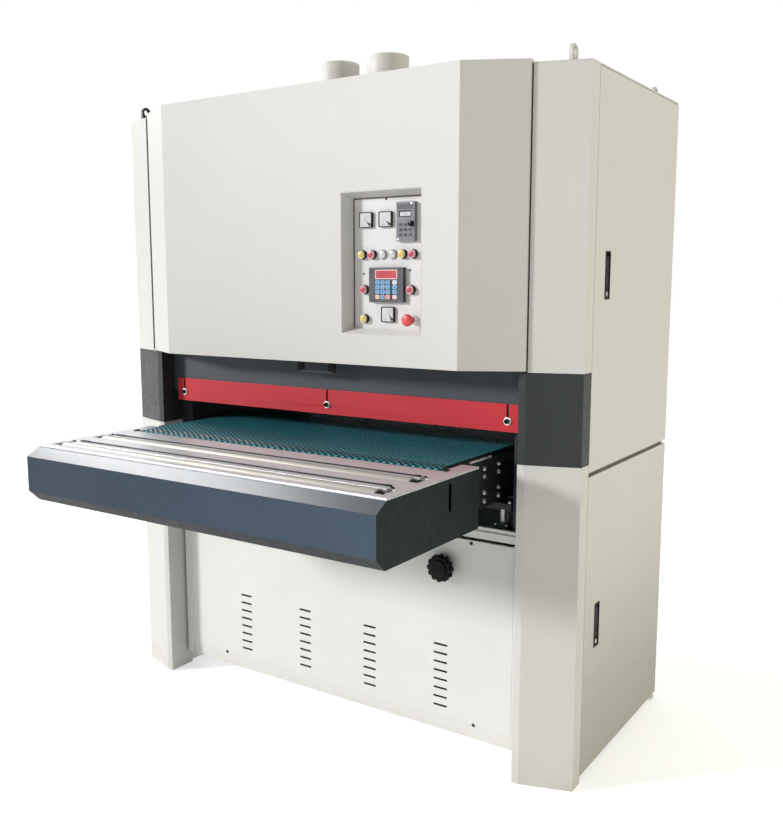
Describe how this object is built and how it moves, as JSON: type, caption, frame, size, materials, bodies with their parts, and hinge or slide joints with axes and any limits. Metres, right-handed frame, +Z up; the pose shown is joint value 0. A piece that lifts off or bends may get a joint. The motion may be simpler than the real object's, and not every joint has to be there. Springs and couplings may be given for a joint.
{
  "type": "wide belt sander",
  "caption": "Floor-standing wide belt sander: sheet-metal cabinet, rise-and-fall feed table with conveyor and infeed rollers, hinged control cabinet and belt-change doors.",
  "frame": {"origin": "on the floor, at the middle of the machine's bounding box", "axes": "+X to the right seen from the infeed side, +Y along the feed direction towards the outfeed, +Z up"},
  "size_m": [1.89, 1.664, 2.333],
  "materials": {
    "shell_paint": "fine textured enamel, warm white",
    "waist_paint": "satin dark grey",
    "slate_paint": "satin slate grey",
    "red_paint": "satin red",
    "frame_paint": "satin charcoal",
    "bare_steel": "ground",
    "zinc": "zinc plated",
    "roller_steel": "turned and polished",
    "roller_alu": "turned",
    "rubber_black": "ground rubber",
    "belt_teal": "rough-top",
    "abrasive": "grit coated cloth",
    "motor_paint": "machine enamel",
    "panel_white": "semi-gloss",
    "instrument_black": "moulded",
    "keypad_grey": "moulded",
    "controller_grey": "moulded",
    "lamp_white": "lens",
    "collar_chrome": "polished",
    "button_yellow": "moulded",
    "button_red": "moulded",
    "black_plastic": "moulded"
  },
  "bodies": {
    "frame": {"base_frame": "shell_paint", "side_frames": "frame_paint", "column_covers": "shell_paint", "waist_covers": "waist_paint", "roof_panel": "shell_paint", "dust_ports": "shell_paint", "lifting_eyes": "zinc", "lower_front_panel": "shell_paint", "cover_fasteners": "zinc", "guard_panels": "shell_paint", "front_crossbeam": "waist_paint", "head_beams": "frame_paint", "sanding_belts": "abrasive", "main_motors": "motor_paint", "drive_belts": "rubber_black", "jack_housings": "frame_paint", "hinge_rods": "zinc"},
    "control_cabinet": {"front_hood": "shell_paint", "control_panel": "panel_white", "panel_meters": "instrument_black", "drive_keypad": "keypad_grey", "thickness_controller": "controller_grey", "indicator_lamps": "lamp_white", "button_collars": "collar_chrome"},
    "right_upper_door": {"right_upper_door": "shell_paint", "upper_latch_pan": "black_plastic"},
    "right_lower_door": {"right_lower_door": "shell_paint", "lower_latch_pan": "black_plastic"},
    "feed_table": {"table_bed": "frame_paint", "infeed_nose": "slate_paint", "infeed_plate": "bare_steel", "feed_belt": "belt_teal", "feed_gearmotor": "motor_paint", "bed_bolts": "zinc", "jack_screws": "roller_steel"},
    "contact_roller_1": {"contact_roller_1": "rubber_black"},
    "contact_roller_2": {"contact_roller_2": "rubber_black"},
    "tension_roller_1": {"tension_roller_1": "roller_alu"},
    "tension_roller_2": {"tension_roller_2": "roller_alu"},
    "motor_pulley_1": {"motor_pulley_1": "roller_steel"},
    "motor_pulley_2": {"motor_pulley_2": "roller_steel"},
    "pressure_roller_front": {"pressure_roller_front": "rubber_black"},
    "pressure_roller_rear": {"pressure_roller_rear": "rubber_black"},
    "limit_bar": {"limit_bar": "red_paint"},
    "speed_knob": {"speed_knob": "black_plastic"},
    "head_1_start_button": {"head_1_start_button": "button_yellow"},
    "head_1_stop_button": {"head_1_stop_button": "button_red"},
    "head_2_start_button": {"head_2_start_button": "button_yellow"},
    "head_2_stop_button": {"head_2_stop_button": "button_red"},
    "table_up_button": {"table_up_button": "button_red"},
    "table_down_button": {"table_down_button": "button_red"},
    "feed_start_button": {"feed_start_button": "button_yellow"},
    "emergency_stop": {"emergency_stop": "button_red"},
    "speed_dial": {"speed_dial": "black_plastic"},
    "upper_latch_handle": {"upper_latch_handle": "black_plastic"},
    "lower_latch_handle": {"lower_latch_handle": "black_plastic"},
    "feed_drive_roller": {"feed_drive_roller": "rubber_black"},
    "feed_idler_roller": {"feed_idler_roller": "roller_alu"},
    "infeed_roller_front": {"infeed_roller_front": "roller_steel"},
    "infeed_roller_rear": {"infeed_roller_rear": "roller_steel"}
  },
  "joints": [
    {"name": "table_lift", "type": "slide", "parent": "frame", "child": "feed_table", "axis": [0, 0, 1], "range_m": [-0.045, 0.062]},
    {"name": "feed_drive_spin", "type": "hinge", "parent": "feed_table", "child": "feed_drive_roller", "pos_m": [0, 0.75, 0.97], "axis": [1, 0, 0], "continuous": true},
    {"name": "feed_idler_spin", "type": "hinge", "parent": "feed_table", "child": "feed_idler_roller", "pos_m": [0, -0.372, 0.97], "axis": [1, 0, 0], "continuous": true},
    {"name": "infeed_roller_front_spin", "type": "hinge", "parent": "feed_table", "child": "infeed_roller_front", "pos_m": [0, -0.725, 1.001], "axis": [1, 0, 0], "continuous": true},
    {"name": "infeed_roller_rear_spin", "type": "hinge", "parent": "feed_table", "child": "infeed_roller_rear", "pos_m": [0, -0.562, 1.001], "axis": [1, 0, 0], "continuous": true},
    {"name": "contact_roller_1_spin", "type": "hinge", "parent": "frame", "child": "contact_roller_1", "pos_m": [0, 0.09, 1.206], "axis": [1, 0, 0], "continuous": true},
    {"name": "tension_roller_1_spin", "type": "hinge", "parent": "frame", "child": "tension_roller_1", "pos_m": [0, 0.09, 1.9], "axis": [1, 0, 0], "continuous": true},
    {"name": "motor_pulley_1_spin", "type": "hinge", "parent": "frame", "child": "motor_pulley_1", "pos_m": [-0.77, 0.09, 0.23], "axis": [1, 0, 0], "continuous": true},
    {"name": "contact_roller_2_spin", "type": "hinge", "parent": "frame", "child": "contact_roller_2", "pos_m": [0, 0.41, 1.206], "axis": [1, 0, 0], "continuous": true},
    {"name": "tension_roller_2_spin", "type": "hinge", "parent": "frame", "child": "tension_roller_2", "pos_m": [0, 0.41, 1.9], "axis": [1, 0, 0], "continuous": true},
    {"name": "motor_pulley_2_spin", "type": "hinge", "parent": "frame", "child": "motor_pulley_2", "pos_m": [-0.77, 0.41, 0.23], "axis": [1, 0, 0], "continuous": true},
    {"name": "pressure_roller_front_spin", "type": "hinge", "parent": "frame", "child": "pressure_roller_front", "pos_m": [0, -0.05, 1.1387], "axis": [1, 0, 0], "continuous": true},
    {"name": "pressure_roller_rear_spin", "type": "hinge", "parent": "frame", "child": "pressure_roller_rear", "pos_m": [0, 0.55, 1.1387], "axis": [1, 0, 0], "continuous": true},
    {"name": "limit_bar_adjust", "type": "slide", "parent": "frame", "child": "limit_bar", "axis": [0, 0, 1], "range_m": [-0.03, 0]},
    {"name": "speed_knob_turn", "type": "hinge", "parent": "frame", "child": "speed_knob", "pos_m": [0.466, -0.12, 0.634], "axis": [0, 1, 0], "range_deg": [-900, 900]},
    {"name": "cabinet_door_swing", "type": "hinge", "parent": "frame", "child": "control_cabinet", "pos_m": [-0.774, -0.172, 1.74], "axis": [0, 0, 1], "range_deg": [-90, 0]},
    {"name": "upper_door_swing", "type": "hinge", "parent": "frame", "child": "right_upper_door", "pos_m": [0.933, 0.659, 1.585], "axis": [0, 0, 1], "range_deg": [0, 110]},
    {"name": "upper_latch_lift", "type": "hinge", "parent": "right_upper_door", "child": "upper_latch_handle", "pos_m": [0.936, 0.038, 1.641], "axis": [0, -1, 0], "range_deg": [0, 45]},
    {"name": "lower_door_swing", "type": "hinge", "parent": "frame", "child": "right_lower_door", "pos_m": [0.933, 0.659, 0.491], "axis": [0, 0, 1], "range_deg": [0, 110]},
    {"name": "lower_latch_lift", "type": "hinge", "parent": "right_lower_door", "child": "lower_latch_handle", "pos_m": [0.936, 0.038, 0.547], "axis": [0, -1, 0], "range_deg": [0, 45]},
    {"name": "head_1_start_press", "type": "slide", "parent": "control_cabinet", "child": "head_1_start_button", "axis": [0, 1, 0], "range_m": [0, 0.004], "stiffness_N_per_m": 600, "springref_m": -0.003},
    {"name": "head_1_stop_press", "type": "slide", "parent": "control_cabinet", "child": "head_1_stop_button", "axis": [0, 1, 0], "range_m": [0, 0.004], "stiffness_N_per_m": 600, "springref_m": -0.003},
    {"name": "head_2_start_press", "type": "slide", "parent": "control_cabinet", "child": "head_2_start_button", "axis": [0, 1, 0], "range_m": [0, 0.004], "stiffness_N_per_m": 600, "springref_m": -0.003},
    {"name": "head_2_stop_press", "type": "slide", "parent": "control_cabinet", "child": "head_2_stop_button", "axis": [0, 1, 0], "range_m": [0, 0.004], "stiffness_N_per_m": 600, "springref_m": -0.003},
    {"name": "table_up_press", "type": "slide", "parent": "control_cabinet", "child": "table_up_button", "axis": [0, 1, 0], "range_m": [0, 0.004], "stiffness_N_per_m": 600, "springref_m": -0.003},
    {"name": "table_down_press", "type": "slide", "parent": "control_cabinet", "child": "table_down_button", "axis": [0, 1, 0], "range_m": [0, 0.004], "stiffness_N_per_m": 600, "springref_m": -0.003},
    {"name": "feed_start_press", "type": "slide", "parent": "control_cabinet", "child": "feed_start_button", "axis": [0, 1, 0], "range_m": [0, 0.004], "stiffness_N_per_m": 600, "springref_m": -0.003},
    {"name": "emergency_stop_press", "type": "slide", "parent": "control_cabinet", "child": "emergency_stop", "axis": [0, 1, 0], "range_m": [0, 0.006], "stiffness_N_per_m": 900, "springref_m": -0.004},
    {"name": "speed_dial_turn", "type": "hinge", "parent": "control_cabinet", "child": "speed_dial", "pos_m": [0.428, -0.252, 1.741], "axis": [0, 1, 0], "range_deg": [-150, 150]}
  ],
  "couplings": [
    {"joint": "feed_idler_spin", "follows": "feed_drive_spin", "ratio": 1},
    {"joint": "tension_roller_1_spin", "follows": "contact_roller_1_spin", "ratio": 1},
    {"joint": "motor_pulley_1_spin", "follows": "contact_roller_1_spin", "ratio": 1},
    {"joint": "tension_roller_2_spin", "follows": "contact_roller_2_spin", "ratio": 1},
    {"joint": "motor_pulley_2_spin", "follows": "contact_roller_2_spin", "ratio": 1}
  ]
}
